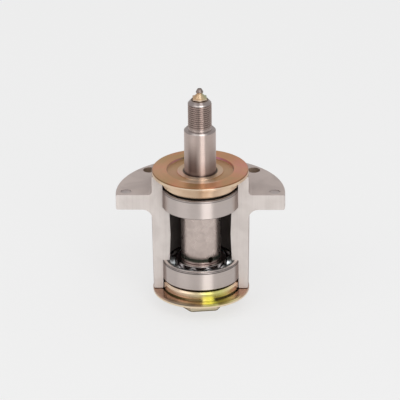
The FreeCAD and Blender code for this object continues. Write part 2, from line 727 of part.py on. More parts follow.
def build_blade_bolt():
    """Hexagon bolt in the lower end of the shaft, its head against the shaft's end."""
    tip = f"({SHAFT_END} + blade_bolt_length)"
    hex_top = f"({SHAFT_END} - bolt_face_height)"
    face = "(bolt_hex_width / 2 - bolt_face_inset)"
    body = turned("blade_bolt", [
        ("0", hex_top),
        (face, hex_top),
        (face, SHAFT_END),
        ("blade_bolt_dia / 2", SHAFT_END),
        ("blade_bolt_dia / 2", f"{tip} - bolt_tip_chamfer"),
        ("blade_bolt_dia / 2 - bolt_tip_chamfer", tip),
        ("0", tip),
    ])
    hex_sketch = new_sketch(body, "bolt_hexagon", "XY_Plane", hex_top)
    hexagon(hex_sketch, "bolt_hex_width", "bolt_hex_turn")
    pad(body, "bolt_hex", hex_sketch, "bolt_hex_height", reverse=True)

    # The cone that bevels the tips of the six corners at the head's outer end
    hex_foot = f"({hex_top} - bolt_hex_height)"
    bevel_start = "bolt_hex_width / 2 * bolt_bevel_start"
    bevel_end = "bolt_hex_width / 2 * bolt_bevel_end"
    bevel_top = f"{hex_foot} + ({bevel_end} - {bevel_start}) * bolt_hex_bevel"
    bevel_sketch = new_sketch(body, "bolt_bevel_section", "XZ_Plane")
    draw_corners(bevel_sketch, [
        (bevel_start, hex_foot),
        (bevel_end, hex_foot),
        (bevel_end, bevel_top),
    ])
    turn_round(body, "Groove", "bolt_bevel", bevel_sketch)


def check_document():
    for item in doc.Objects:
        if "Invalid" in item.State or "Error" in item.State:
            raise RuntimeError(f"{item.Label} failed: {item.State}")
    for part in sub_parts:
        if part.Shape.isNull() or not part.Shape.isValid():
            raise RuntimeError(f"{part.Label} has no valid shape")


build_housing()
build_bearing("upper", UPPER_TOP, sealed_above=True)
build_bearing("lower", LOWER_TOP, sealed_above=False)
build_spacer()
build_shaft()
build_cap("upper_dust_cap", SEAT_LEVEL, "upper_cap_height", "1")
build_cap("lower_dust_cap", BLADE_SEAT, "lower_cap_height", "(-1)")
build_grease_fitting()
build_blade_bolt()
doc.recompute()
check_document()

os.makedirs("parts", exist_ok=True)
for part in sub_parts:
    part.Shape.exportStep(f"parts/{part.Label}.step")
    print(part.Label, len(part.Shape.Solids), round(part.Shape.Volume, 1))
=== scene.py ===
import math

import bmesh
import bpy
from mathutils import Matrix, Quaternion, Vector


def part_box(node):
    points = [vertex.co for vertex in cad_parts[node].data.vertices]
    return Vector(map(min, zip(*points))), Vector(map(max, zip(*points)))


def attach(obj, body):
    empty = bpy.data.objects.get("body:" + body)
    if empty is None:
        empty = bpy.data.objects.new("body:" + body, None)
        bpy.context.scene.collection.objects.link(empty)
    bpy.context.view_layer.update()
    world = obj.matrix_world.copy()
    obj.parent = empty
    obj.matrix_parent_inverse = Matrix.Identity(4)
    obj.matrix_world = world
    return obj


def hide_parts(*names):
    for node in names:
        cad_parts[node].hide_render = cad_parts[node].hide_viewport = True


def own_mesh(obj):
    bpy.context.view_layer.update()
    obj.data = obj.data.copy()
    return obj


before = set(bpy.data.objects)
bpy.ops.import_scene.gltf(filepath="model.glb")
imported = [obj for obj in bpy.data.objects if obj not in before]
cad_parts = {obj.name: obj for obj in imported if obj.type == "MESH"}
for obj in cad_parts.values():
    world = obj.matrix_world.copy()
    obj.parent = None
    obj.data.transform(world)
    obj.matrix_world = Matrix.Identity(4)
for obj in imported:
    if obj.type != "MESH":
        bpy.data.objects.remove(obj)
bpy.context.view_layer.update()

mm = 0.001
around = 160  # faces round every turned piece
mergeReach = 2e-6  # metres, points nearer than this become one
nodeGap = 200  # between neighbours in the node editor
print("frame loaded:", len(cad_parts), "nodes")


# Small helpers for objects and node trees

def addObject(name, data):
    made = bpy.data.objects.new(name, data)
    bpy.context.scene.collection.objects.link(made)
    return made


def finishedMesh(holder, name):  # the holder's modifiers end in a plain mesh, and the holder goes
    graph = bpy.context.evaluated_depsgraph_get()
    mesh = bpy.data.meshes.new_from_object(holder.evaluated_get(graph))
    mesh.name = name
    holder.modifiers.clear()
    bpy.data.objects.remove(holder)
    return mesh


def feed(tree, source, target):  # a node's first output, an output or a plain value
    if isinstance(source, bpy.types.Node):
        source = source.outputs[0]
    if isinstance(source, bpy.types.NodeSocket):
        tree.links.new(source, target)
    else:
        target.default_value = source


def addNode(tree, kind, inputs=None, **settings):
    made = tree.nodes.new(kind)
    made.location.x = nodeGap * len(tree.nodes)
    for name, value in settings.items():
        setattr(made, name, value)
    for name, source in (inputs or {}).items():
        feed(tree, source, made.inputs[name])
    return made


def calc(tree, operation, *terms, clamp=False):
    made = addNode(tree, "ShaderNodeMath", dict(enumerate(terms)), operation=operation, use_clamp=clamp)
    return made.outputs[0]


def objectPlace(tree):
    return addNode(tree, "ShaderNodeTexCoord").outputs["Object"]


def opaque(colour):
    return (*colour, 1) if isinstance(colour, tuple) else colour


def addRamp(tree, value, stops):
    ramp = addNode(tree, "ShaderNodeValToRGB", {0: value})
    elements = ramp.color_ramp.elements
    for end in (0, -1):
        elements[end].position = stops[end][0]
        elements[end].color = opaque(stops[end][1])
    for position, colour in stops[1:-1]:
        elements.new(position).color = opaque(colour)
    return ramp.outputs[0]


socketKinds = {float: "NodeSocketFloat", int: "NodeSocketInt", type(None): "NodeSocketMaterial"}


def newGroup(name, kind, inputs, **outputs):
    tree = bpy.data.node_groups.new(name, kind)
    for label, value in inputs.items():
        socket = tree.interface.new_socket(label, in_out="INPUT", socket_type=socketKinds[type(value)])
        if value is not None:
            socket.default_value = value
    for label, content in outputs.items():
        tree.interface.new_socket(label, in_out="OUTPUT", socket_type="NodeSocket" + content)
    taken = addNode(tree, "NodeGroupInput").outputs
    given = addNode(tree, "NodeGroupOutput").inputs
    return tree, taken, given


# Shared surface effects, each a shader group

def makeTurnedPlace():
    places = {"Radius": "Float", "Level": "Float", "Angle": "Float"}
    tree, _, given = newGroup("turnedPlace", "ShaderNodeTree", {}, **places)
    inMetres = objectPlace(tree)
    inMm = addNode(tree, "ShaderNodeVectorMath", {0: inMetres, "Scale": 1 / mm}, operation="SCALE")
    across, deep, level = addNode(tree, "ShaderNodeSeparateXYZ", {0: inMm}).outputs
    square = calc(tree, "MULTIPLY_ADD", across, across, calc(tree, "MULTIPLY", deep, deep))
    turn = calc(tree, "ARCTAN2", across, calc(tree, "MULTIPLY", deep, -1.0))  # 0 in front, right positive
    feed(tree, calc(tree, "SQRT", square), given["Radius"])
    feed(tree, level, given["Level"])
    feed(tree, calc(tree, "MULTIPLY", turn, 180 / math.pi), given["Angle"])
    return tree


def makeTurningMarks():
    tree, taken, given = newGroup("turningMarks", "ShaderNodeTree", {"Rings": 2.0}, Marks="Float")
    radius, level, angle = addNode(tree, "ShaderNodeGroup", node_tree=turnedPlace).outputs
    drift = calc(tree, "SINE", calc(tree, "MULTIPLY", angle, 0.012))  # slow change round the piece
    ring = addNode(tree, "ShaderNodeCombineXYZ", {0: radius, 1: level, 2: drift})
    pattern = {"Vector": ring, "Scale": taken["Rings"], "Detail": 3.0, "Roughness": 0.65}
    feed(tree, addNode(tree, "ShaderNodeTexNoise", pattern), given["Marks"])
    return tree


def makeBlotches():
    inputs = {"Scale": 100.0, "Low": 0.3, "High": 0.72}
    tree, taken, given = newGroup("blotches", "ShaderNodeTree", inputs, Mask="Float")
    pattern = {"Vector": objectPlace(tree), "Scale": taken["Scale"], "Detail": 4.0, "Distortion": 0.6}
    noise = addNode(tree, "ShaderNodeTexNoise", pattern)
    limits = {"Value": noise, "From Min": taken["Low"], "From Max": taken["High"]}
    feed(tree, addNode(tree, "ShaderNodeMapRange", limits, interpolation_type="SMOOTHSTEP"), given["Mask"])
    return tree


def makeCastGrain():
    inputs = {"Scale": 900.0, "Pits": 0.5}
    tree, taken, given = newGroup("castGrain", "ShaderNodeTree", inputs, Height="Float")
    place = objectPlace(tree)
    grain = addNode(tree, "ShaderNodeTexNoise", {"Vector": place, "Scale": taken["Scale"], "Detail": 5.0})
    coarser = calc(tree, "MULTIPLY", taken["Scale"], 0.4)
    pit = addNode(tree, "ShaderNodeTexVoronoi", {"Vector": place, "Scale": coarser})
    depth = calc(tree, "SMOOTH_MIN", pit.outputs["Distance"], 0.25, 0.1)
    feed(tree, calc(tree, "MULTIPLY_ADD", depth, taken["Pits"], grain), given["Height"])
    return tree


def makeSawLines():
    inputs = {"Across": 700.0, "Along": 18.0}
    tree, taken, given = newGroup("sawLines", "ShaderNodeTree", inputs, Lines="Float")
    along = taken["Along"]
    stretch = addNode(tree, "ShaderNodeCombineXYZ", {0: taken["Across"], 1: along, 2: along})
    drawn = addNode(tree, "ShaderNodeVectorMath", {0: objectPlace(tree), 1: stretch}, operation="MULTIPLY")
    noise = addNode(tree, "ShaderNodeTexNoise", {"Vector": drawn, "Scale": 1.0, "Detail": 3.0})
    feed(tree, noise, given["Lines"])
    return tree


def makePlatingTint():
    inputs = {"Scale": 45.0, "Shift": 0.0}
    tree, taken, given = newGroup("platingTint", "ShaderNodeTree", inputs, Color="Color")
    pattern = {"Vector": objectPlace(tree), "W": taken["Shift"], "Scale": taken["Scale"], "Detail": 2.5}
    noise = addNode(tree, "ShaderNodeTexNoise", {**pattern, "Distortion": 0.8}, noise_dimensions="4D")
    tints = addRamp(tree, noise, [
        (0.28, (0.58, 0.22, 0.16)),  # rose
        (0.42, (0.54, 0.255, 0.135)),  # tan
        (0.55, (0.50, 0.27, 0.135)),  # gold tan
        (0.66, (0.44, 0.28, 0.13)),  # green gold
        (0.78, (0.56, 0.235, 0.145)),  # pink
    ])
    feed(tree, tints, given["Color"])
    return tree


turnedPlace = makeTurnedPlace()
turningMarks = makeTurningMarks()
blotches = makeBlotches()
castGrain = makeCastGrain()
sawLines = makeSawLines()
platingTint = makePlatingTint()
print("surface effects made")


# Materials: stains, painted light and painted shade over a first colour, placed by radius and level in mm
# and angle in degrees

class Surface:
    def __init__(self, name, roughness, metallic, anisotropic=0.0, swing=0.25):
        self.material = bpy.data.materials.new(name)
        self.material.use_nodes = True
        self.tree = self.material.node_tree
        self.shader = self.tree.nodes["Principled BSDF"]
        self.roughness = roughness
        self.shade = None  # the colour painted so far
        self.shader.inputs["Roughness"].default_value = roughness
        self.shader.inputs["Metallic"].default_value = metallic
        if anisotropic:
            self.shader.inputs["Anisotropic"].default_value = anisotropic
            self.shader.inputs["Anisotropic Rotation"].default_value = swing  # 0.25 is across the marks
            tangent = addNode(self.tree, "ShaderNodeTangent", direction_type="RADIAL", axis="Z")
            feed(self.tree, tangent, self.shader.inputs["Tangent"])

    def use(self, group, **values):
        return addNode(self.tree, "ShaderNodeGroup", values, node_tree=group)

    def place(self):
        return self.use(turnedPlace).outputs  # radius, level and angle

    def calc(self, operation, *terms):
        return calc(self.tree, operation, *terms)

    def times(self, first, *others):
        for other in others:
            first = self.calc("MULTIPLY", first, other)
        return first

    def rise(self, value, start, end):
        limits = {"Value": value, "From Min": start, "From Max": end}
        return addNode(self.tree, "ShaderNodeMapRange", limits, interpolation_type="SMOOTHSTEP").outputs[0]

    def fall(self, value, start, end):
        return self.calc("SUBTRACT", 1.0, self.rise(value, start, end))

    def band(self, value, low, high, soft):
        above = self.rise(value, low - soft, low + soft)
        return self.times(above, self.fall(value, high - soft, high + soft))

    def spread(self, value, low, high):
        return addNode(self.tree, "ShaderNodeMapRange", {"Value": value, "To Min": low, "To Max": high})

    def ramp(self, angle, stops):  # colours round the piece, with the back at 0 and 1 and the front at 0.5
        return addRamp(self.tree, self.calc("MULTIPLY_ADD", angle, 1 / 360, 0.5), stops)

    def mix(self, mask, first, second, blend="MIX"):
        inputs = {0: mask, 6: opaque(first), 7: opaque(second)}
        return addNode(self.tree, "ShaderNodeMix", inputs, data_type="RGBA", blend_type=blend).outputs[2]

    def coat(self, mask, bright, dull):
        self.shade = self.mix(mask, bright, dull)

    def paint(self, mask, colour, share=1.0):
        self.shade = self.mix(self.times(mask, share) if share < 1 else mask, self.shade, colour)

    def darken(self, mask, colour):
        self.shade = self.mix(mask, self.shade, colour, "MULTIPLY")

    def bump(self, height, strength, depth):  # depth in mm
        inputs = {"Height": height, "Strength": strength, "Distance": depth * mm}
        feed(self.tree, addNode(self.tree, "ShaderNodeBump", inputs), self.shader.inputs["Normal"])

    def finish(self, pattern, change):  # the pattern also changes the roughness, by so much each way
        dull = self.spread(pattern, self.roughness - change, self.roughness + change)
        feed(self.tree, dull, self.shader.inputs["Roughness"])
        feed(self.tree, self.shade, self.shader.inputs["Base Color"])
        return self.material


def makeStained(name, bright, dull, roughness, metallic, scale, grain=0.0):
    surface = Surface(name, roughness, metallic)
    stain = surface.use(blotches, Scale=scale)
    surface.coat(stain, bright, dull)
    if grain:
        surface.bump(surface.use(castGrain, Scale=1400.0, Pits=0.4), grain, 0.2)
    return surface.finish(stain, 0.15 * roughness)


def makeSawnMaterial():
    sawn = Surface("sawn aluminium", 0.5, 0.3)
    lines = sawn.use(sawLines)
    stain = sawn.use(blotches, Scale=70.0)
    sawn.coat(stain, (0.64, 0.585, 0.555), (0.57, 0.515, 0.485))
    sawn.darken(0.25, sawn.spread(lines, 0.6, 1.4))
    sawn.bump(lines, 0.08, 0.1)
    return sawn.finish(lines, 0.08)


def makeSteel(name, bright, dull, roughness, rings):
    steel = Surface(name, roughness, 1.0, 0.3)
    marks = steel.use(turningMarks, Rings=rings)
    steel.coat(marks, bright, dull)
    steel.bump(marks, 0.03, 0.05)
    return steel.finish(marks, 0.2 * roughness)


def makeRingMaterial():
    ring = Surface("ground bearing steel", 0.4, 1.0, 1.0)
    radius, level, angle = ring.place()
    marks = ring.use(turningMarks, Rings=3.0)
    ring.coat(marks, (0.67, 0.595, 0.56), (0.57, 0.50, 0.47))
    darkReflection = ring.rise(ring.calc("ABSOLUTE", angle), 59.0, 68.0)
    ring.darken(darkReflection, (0.62, 0.58, 0.57))  # painted dark reflection of the housing's edge beside the sawn faces
    topFace = ring.band(level, -76.7, -76.0, 0.1)
    ring.paint(topFace, (0.77, 0.70, 0.665))  # painted highlight on the lower ring's open face
    inward = ring.fall(radius, 28.0, 28.5)
    ring.paint(ring.times(topFace, inward), (0.10, 0.11, 0.11))  # and near black on its inner half
    covered = ring.fall(radius, 29.0, 29.6)
    capShadow = ring.times(ring.rise(level, -14.22, -14.15), covered)
    ring.paint(capShadow, (0.05, 0.04, 0.035))  # painted shadow in the gap under the upper cap
    upperShadeLine = ring.times(ring.band(level, -15.8, -15.0, 0.2), 0.7)
    lowerShadeLine = ring.band(level, -78.1, -77.3, 0.2)
    lines = ring.calc("MAXIMUM", upperShadeLine, lowerShadeLine)
    ring.darken(lines, (0.16, 0.15, 0.15))  # painted shade and dark reflection in a line under the top edges
    ring.bump(marks, 0.03, 0.05)
    return ring.finish(marks, 0.08)


def makeShaftMaterial():
    steel = Surface("ground shaft steel", 0.4, 1.0, 1.0)
    radius, level, angle = steel.place()
    marks = steel.use(turningMarks, Rings=2.5)
    steel.coat(marks, (0.67, 0.56, 0.515), (0.53, 0.44, 0.405))
    steel.paint(steel.fall(level, -66.0, -62.0), (0.02, 0.016, 0.012))  # painted shade, near black inside the spacer, seen through the grease hole
    steel.darken(steel.band(level, -9.0, 8.0, 7.0), (0.74, 0.67, 0.65))  # painted darker towards the cap, for the cap's shade and dark reflection
    foot = steel.band(level, -9.0, 0.9, 1.4)
    highlightFront = steel.times(steel.band(angle, -3.0, 15.0, 4.0), -0.6)
    foot = steel.calc("MULTIPLY_ADD", foot, highlightFront, foot)
    steel.darken(foot, (0.40, 0.34, 0.32))  # painted shade where it leaves the cap, lighter where the highlight falls
    paintedReflectionLevels = steel.times(steel.fall(level, 9.0, 32.0), steel.rise(level, -3.0, 4.0))
    right = steel.times(steel.band(angle, 36.0, 80.0, 8.0), 0.35)
    flanks = steel.calc("MAXIMUM", steel.band(angle, -46.0, -8.0, 9.0), right)
    steel.darken(steel.times(paintedReflectionLevels, flanks), (0.36, 0.325, 0.315))  # painted dark reflection of the cap beside the highlight at the front
    chamfers = steel.calc("MAXIMUM", steel.rise(level, 57.8, 58.5), steel.band(level, 34.9, 36.4, 0.1))
    steel.darken(chamfers, (0.58, 0.59, 0.61))  # turned, not ground, and painted darker for the dark reflection on them
    root = steel.fall(radius, 8.8, 9.5)
    cut = steel.mix(root, (0.44, 0.335, 0.295), (0.20, 0.15, 0.135))  # painted shade in the thread's root
    steel.paint(steel.times(steel.rise(level, 37.6, 39.1), steel.fall(level, 57.8, 58.5)), cut)
    corners = steel.calc("MAXIMUM", steel.band(level, 35.0, 35.9, 0.3), steel.band(level, 58.3, 59.3, 0.3))
    paintedGlints = steel.times(corners, steel.band(angle, -22.0, 26.0, 14.0))
    steel.paint(paintedGlints, (0.98, 0.89, 0.84), 0.75)  # painted highlights on the edges at the front
    steel.paint(steel.rise(level, 60.9, 61.3), (0.16, 0.11, 0.08))  # painted shadow under the fitting
    steel.bump(marks, 0.05, 0.05)
    return steel.finish(marks, 0.06)


def makeSpacerMaterial():
    tube = Surface("drawn tube steel", 0.3, 1.0, 0.7, 0.0)
    stain = tube.use(blotches, Scale=170.0, Low=0.3, High=0.75)
    tube.coat(stain, (0.62, 0.525, 0.48), (0.52, 0.435, 0.40))
    darkReflection = tube.band(tube.place()["Level"], -74.7, -71.6, 0.9)
    tube.darken(darkReflection, (0.32, 0.44, 0.38))  # painted dark reflection of the bearing below, near the foot, tinted green
    spillPlace = (0.0079, -0.01375, -0.0734)  # metres, just below the grease hole
    ends = {0: objectPlace(tube.tree), 1: spillPlace}
    spill = addNode(tube.tree, "ShaderNodeVectorMath", ends, operation="DISTANCE")
    tube.paint(tube.fall(spill.outputs["Value"], 0.0017, 0.0025), (0.035, 0.018, 0.010))  # old grease
    tube.bump(tube.use(castGrain, Scale=1500.0, Pits=0.1), 0.04, 0.1)
    return tube.finish(stain, 0.04)


def makeUpperCapMaterial():
    plating = Surface("yellow plating above", 0.33, 1.0, 1.0)
    radius, level, angle = plating.place()
    marks = plating.use(turningMarks, Rings=1.6)
    plating.shade = plating.use(platingTint, Scale=38.0, Shift=0.0)
    plating.paint(plating.band(radius, 18.5, 26.6, 0.3), (0.39, 0.24, 0.115), 0.7)  # the recess's floor
    plating.paint(plating.fall(radius, 18.0, 18.6), (0.52, 0.42, 0.31), 0.55)  # the boss
    front = plating.band(angle, -26.0, 26.0, 16.0)
    highlightFront = plating.times(front, plating.band(radius, 13.0, 26.5, 0.3))
    plating.paint(highlightFront, (0.84, 0.69, 0.55), 0.7)  # painted highlight at the front
    plating.paint(plating.fall(radius, 13.6, 14.8), (0.10, 0.07, 0.05), 0.85)  # painted shade in the gap round the shaft
    wallColoursAndShade = plating.ramp(angle, [
        (0.03, (0.08, 0.065, 0.035)),  # painted shade, nearly black at the back
        (0.08, (0.20, 0.19, 0.12)),  # grey green
        (0.14, (0.42, 0.18, 0.21)),  # violet at the left
        (0.24, (0.42, 0.25, 0.13)),
        (0.75, (0.26, 0.16, 0.08)),  # brown at the right
        (0.83, (0.46, 0.15, 0.11)),  # red
        (0.91, (0.44, 0.16, 0.27)),  # violet
        (0.97, (0.10, 0.045, 0.05)),
    ])
    plating.paint(plating.band(radius, 26.35, 26.95, 0.12), wallColoursAndShade, 0.8)  # the recess's steep wall: plating colours, with painted shade at the back
    innerEdgeHighlight = plating.times(front, plating.band(radius, 27.3, 28.9, 0.5))
    plating.paint(innerEdgeHighlight, (0.86, 0.68, 0.54), 0.75)  # painted highlight on the inner edge at the front
    outer = plating.rise(radius, 37.9, 38.0)
    brow = plating.times(outer, plating.rise(level, 0.0, 0.2))
    plating.darken(brow, (0.62, 0.60, 0.58))  # brown outer edge
    flank = plating.times(outer, plating.fall(level, 0.0, 0.2))
    side = plating.calc("MAXIMUM", plating.fall(level, -1.5, -1.1), flank)
    away = plating.rise(plating.calc("ABSOLUTE", angle), 18.0, 42.0)
    pale = plating.mix(away, (0.76, 0.59, 0.43), (1.0, 0.82, 0.62))
    pale = plating.mix(plating.band(angle, -2.0, 14.0, 6.0), pale, (0.54, 0.39, 0.27))
    plating.paint(side, pale, 0.7)  # paler sides: painted light far round, painted shade where the highlight falls
    corner = plating.times(front, outer, plating.band(level, -0.5, 0.1, 0.1))
    plating.paint(corner, (0.94, 0.84, 0.67), 0.85)  # painted highlight line below the outer edge at the front
    plating.darken(0.35, plating.spread(marks, 0.5, 1.4))
    plating.bump(marks, 0.15, 0.08)
    return plating.finish(marks, 0.05)


def makeLowerCapMaterial():
    plating = Surface("yellow plating below", 0.24, 1.0, 0.5)
    radius, level, angle = plating.place()
    marks = plating.use(turningMarks, Rings=1.6)
    drift = plating.ramp(angle, [
        (0.20, (0.66, 0.50, 0.38)),  # tan at the left
        (0.42, (0.86, 0.71, 0.55)),
        (0.49, (0.76, 0.69, 0.42)),  # olive gold
        (0.53, (0.60, 0.60, 0.17)),  # yellow green at the front right
        (0.59, (0.72, 0.76, 0.28)),
        (0.68, (0.92, 0.71, 0.54)),  # pink tan at the right
        (0.85, (0.66, 0.50, 0.38)),
    ])
    plating.coat(0.2, drift, plating.use(platingTint, Scale=38.0, Shift=2.7))
    above = plating.rise(level, -103.1, -102.7)
    ledge = plating.times(above, plating.rise(radius, 30.8, 31.4))
    # where the highlight falls the painted shade is left off
    clear = plating.calc("SUBTRACT", 1.0, plating.band(angle, 2.8, 22.5, 2.5))
    rightEnd = plating.times(plating.band(angle, 38.0, 54.0, 7.0), 0.75)
    stain = plating.times(ledge, clear, plating.calc("SUBTRACT", 1.0, rightEnd))
    plating.darken(stain, (0.58, 0.47, 0.44))  # painted shade on the ledge, darker and browner, kept off where the highlight falls
    leftEnd = plating.times(ledge, plating.rise(radius, 34.0, 36.5), plating.band(angle, -44.0, -8.0, 8.0))
    plating.darken(leftEnd, (0.55, 0.66, 0.70))  # painted shade, darker still at the left
    lip = plating.times(plating.rise(level, -102.4, -102.0), plating.rise(radius, 36.6, 37.4))
    lip = plating.times(lip, plating.band(angle, -14.0, 30.0, 6.0))
    plating.darken(lip, (0.58, 0.57, 0.66))  # a darker line along its edge at the front
    below = plating.calc("SUBTRACT", 1.0, above)
    side = plating.times(below, plating.rise(radius, 36.5, 37.5))
    plating.paint(side, (0.90, 0.74, 0.54))  # pale edge of the rim, painted light for the bright floor it would reflect
    grooveShade = plating.times(plating.band(level, -101.5, -99.9, 0.1), plating.fall(radius, 30.9, 31.2), clear)
    thin = plating.times(plating.band(angle, -22.0, 4.0, 10.0), -0.4)  # thinner towards the front
    grooveShade = plating.calc("MULTIPLY_ADD", grooveShade, thin, grooveShade)
    plating.paint(grooveShade, (0.16, 0.13, 0.055))  # painted shade in the groove at the hub's root, kept off the highlight
    plating.darken(0.3, plating.spread(marks, 0.5, 1.4))
    plating.bump(marks, 0.12, 0.08)
    return plating.finish(marks, 0.06)


def makeFittingMaterial():
    plated = Surface("plated fitting", 0.25, 1.0)
    place = plated.place()
    marks = plated.use(turningMarks, Rings=3.0)
    plated.shade = plated.ramp(place["Angle"], [
        (0.30, (0.46, 0.29, 0.16)),  # brown gold at the left
        (0.46, (0.62, 0.43, 0.27)),
        (0.52, (0.90, 0.70, 0.48)),  # painted highlight at the front
        (0.56, (0.60, 0.44, 0.27)),
        (0.70, (0.36, 0.35, 0.21)),  # green grey at the right
    ])
    plated.paint(plated.fall(place["Level"], 62.2, 62.7), (0.86, 0.69, 0.57), 0.7)  # paler lower edge
    plated.darken(0.3, plated.spread(marks, 0.6, 1.3))
    plated.paint(plated.rise(place["Level"], 67.2, 68.0), (0.22, 0.175, 0.155))  # the head is worn grey
    return plated.finish(marks, 0.05)


def makeBoltMaterial():
    bolt = Surface("plated bolt steel", 0.4, 1.0)
    stain = bolt.use(blotches, Scale=200.0)
    # painted light: the bolt's body is painted nearly white
    bolt.coat(stain, (1.0, 0.93, 0.78), (0.92, 0.82, 0.66))
    foot = bolt.fall(bolt.place()["Level"], -116.2, -115.4)
    bolt.paint(foot, (0.30, 0.25, 0.16))  # painted shadow where it stands on the floor
    return bolt.finish(stain, 0.06)


stainedLooks = {  # name, bright and dull colour, roughness, metallic, scale of the blotches, grain
    "cast": ("cast aluminium", (0.46, 0.385, 0.355), (0.41, 0.345, 0.32), 0.55, 0.35, 55.0, 0.25),
    # the bore and the holes are painted dark: painted shade, with oil in the bore
    "bore": ("oily bore in painted shade", (0.100, 0.083, 0.077), (0.125, 0.105, 0.098), 0.45, 0.0, 120.0),
    "hole": ("drilled hole in painted shade", (0.34, 0.255, 0.195), (0.25, 0.185, 0.14), 0.45, 0.3, 150.0),
    "mark": ("dull ejector mark", (0.42, 0.365, 0.345), (0.37, 0.325, 0.315), 0.6, 0.3, 150.0, 0.2),
    "rubber": ("seal rubber", (0.030, 0.036, 0.032), (0.045, 0.050, 0.045), 0.5, 0.0, 200.0),
    "ball": ("polished ball steel", (0.72, 0.76, 0.80), (0.66, 0.71, 0.76), 0.08, 1.0, 300.0),
    "cage": ("pressed cage steel", (0.92, 0.96, 0.98), (0.74, 0.82, 0.83), 0.36, 1.0, 300.0),
}
steelLooks = {  # name, bright and dull colour, roughness, turning marks in a millimetre
    # the ring edges are painted dark for the dark reflection on them, the lower ones darker still
    "upperEdge": ("turned ring edge, painted dark", (0.32, 0.285, 0.275), (0.24, 0.21, 0.20), 0.35, 3.0),
    "lowerEdge": ("ring edge, painted darker", (0.19, 0.168, 0.162), (0.14, 0.123, 0.118), 0.35, 3.0),
    "innerRing": ("inner ring steel", (0.46, 0.39, 0.385), (0.34, 0.30, 0.295), 0.16, 2.0),
}
finishes = {
    "sawn": makeSawnMaterial(),
    "ring": makeRingMaterial(),
    "shaft": makeShaftMaterial(),
    "spacer": makeSpacerMaterial(),
    "upperCap": makeUpperCapMaterial(),
    "lowerCap": makeLowerCapMaterial(),
    "fitting": makeFittingMaterial(),
    "bolt": makeBoltMaterial(),
    **{key: makeStained(*look) for key, look in stainedLooks.items()},
    **{key: makeSteel(*look) for key, look in steelLooks.items()},
}
print("materials made:", len(finishes))


# Turned pieces: a half section with rounded edges, spun round the shaft's axis

edgeSteps = 4  # faces in every rounded edge
edgeShare = 0.45  # of a side, the most that one rounded edge may take
onAxis = 1e-6  # mm, a smaller radius is on the axis


def roundedSection(corners, inOrder=False):  # corners are radius, level and edge radius in mm
    area = sum(a[0] * b[1] - b[0] * a[1] for a, b in zip(corners, corners[1:] + corners[:1]))
    if area < 0 and not inOrder:
        corners = corners[::-1]  # the section runs with the metal on its left
    points = []
    count = len(corners)
    for index, (reach, level, edge) in enumerate(corners):
        here = Vector((reach, level))
        back = Vector(corners[index - 1][:2]) - here
        ahead = Vector(corners[(index + 1) % count][:2]) - here
        if reach < onAxis or edge <= 0:
            points.append(here)
            continue
        half = back.angle(ahead) / 2
        run = min(edge / math.tan(half), edgeShare * back.length, edgeShare * ahead.length)
        edge = run * math.tan(half)
        start = here + back.normalized() * run
        end = here + ahead.normalized() * run
        centre = here + (back.normalized() + ahead.normalized()).normalized() * (edge / math.sin(half))
        first = start - centre
        swing = first.angle_signed(end - centre)
        for step in range(edgeSteps + 1):
            turn = -swing * step / edgeSteps
            across = first.x * math.cos(turn) - first.y * math.sin(turn)
            up = first.x * math.sin(turn) + first.y * math.cos(turn)
            points.append(centre + Vector((across, up)))
    return points


def spinSection(work, points, closed):
    rings = []
    for reach, level in points:
        if reach < onAxis:
            rings.append([work.verts.new((0, 0, level * mm))])
            continue
        ring = []
        for step in range(around):
            turn = 2 * math.pi * step / around
            across = reach * math.cos(turn) * mm
            deep = reach * math.sin(turn) * mm
            ring.append(work.verts.new((across, deep, level * mm)))
        rings.append(ring)
    nextRings = rings[1:] + rings[:1] if closed else rings[1:]
    for low, high in zip(rings, nextRings):
        for step in range(around):
            after = (step + 1) % around
            if len(low) == 1:
                work.faces.new((low[0], high[after], high[step]))
            elif len(high) == 1:
                work.faces.new((low[step], low[after], high[0]))
            else:
                work.faces.new((low[step], low[after], high[after], high[step]))


def smoothByArea(mesh):
    sums = [Vector() for vert in mesh.vertices]
    for face in mesh.polygons:
        for index in face.vertices:
            sums[index] += face.normal * face.area
    mesh.shade_smooth()
    mesh.normals_split_custom_set_from_vertices([total.normalized() for total in sums])


def placePiece(name, mesh, finish, body, node):
    piece = addObject(name, mesh)
    if finish:
        mesh.materials.clear()
        mesh.materials.append(finishes[finish])
    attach(piece, body)
    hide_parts(node)
    return piece


def turnedPiece(name, corners, finish, body, node):
    work = bmesh.new()
    spinSection(work, roundedSection(corners), True)
    mesh = bpy.data.meshes.new(name)
    work.to_mesh(mesh)
    work.free()
    smoothByArea(mesh)
    return placePiece(name, mesh, finish, body, node)


# Dust caps

cap = {
    "bore": 12.73, "boreChamfer": 0.7, "boss": 18.5, "recess": 27.0, "recessSlope": 0.7, "recessDepth": 1.8,
    "rim": 38.6, "rimRise": 1.4, "rimThickness": 3.4, "rimEdge": 0.6, "hub": 30.62, "hubChamfer": 1.5,
    "rootWidth": 1.3, "rootDepth": 0.6, "foot": 18.8, "footHeight": 1.9,
    "upperSeat": -0.4, "upperHeight": 13.7, "lowerSeat": -103.3, "lowerHeight": 10.9,
}


